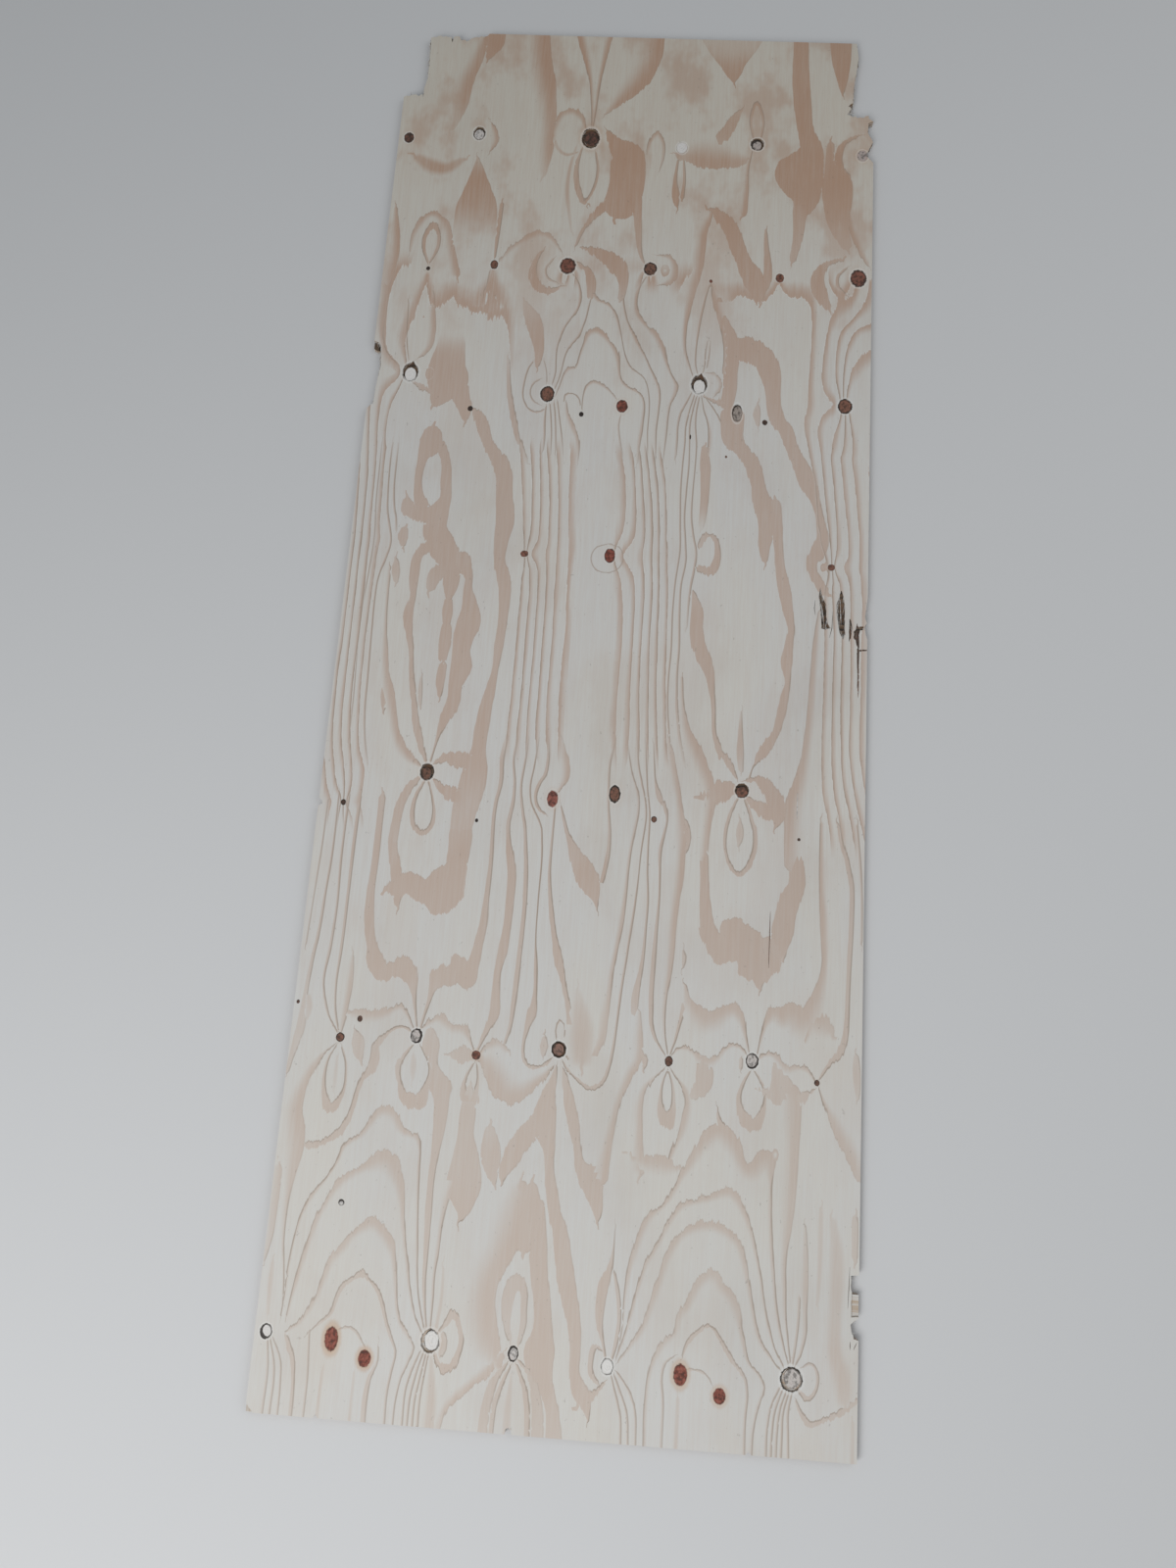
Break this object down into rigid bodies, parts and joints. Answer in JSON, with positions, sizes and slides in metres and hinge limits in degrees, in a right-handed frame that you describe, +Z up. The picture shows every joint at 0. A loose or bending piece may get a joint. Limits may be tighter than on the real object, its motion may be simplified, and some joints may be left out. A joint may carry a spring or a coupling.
{
  "type": "plywood sheet",
  "caption": "Flat softwood plywood panel, ripped narrow from a full-length sheet, with a knotty peeled face and torn corners and edges, for sheathing, flooring or boxing in.",
  "frame": {"origin": "centre of the underside of the sheet's full rectangle", "axes": "+Y along the face grain and the long edges, +X across the sheet, +Z up out of the knotty face"},
  "size_m": [0.89, 2.44, 0.012],
  "materials": {
    "plywood": "dry unsanded rotary-peeled pine veneer, pale with tan latewood and red-brown knots"
  },
  "bodies": {
    "root": {"plywood_sheet": "plywood"}
  },
  "joints": []
}
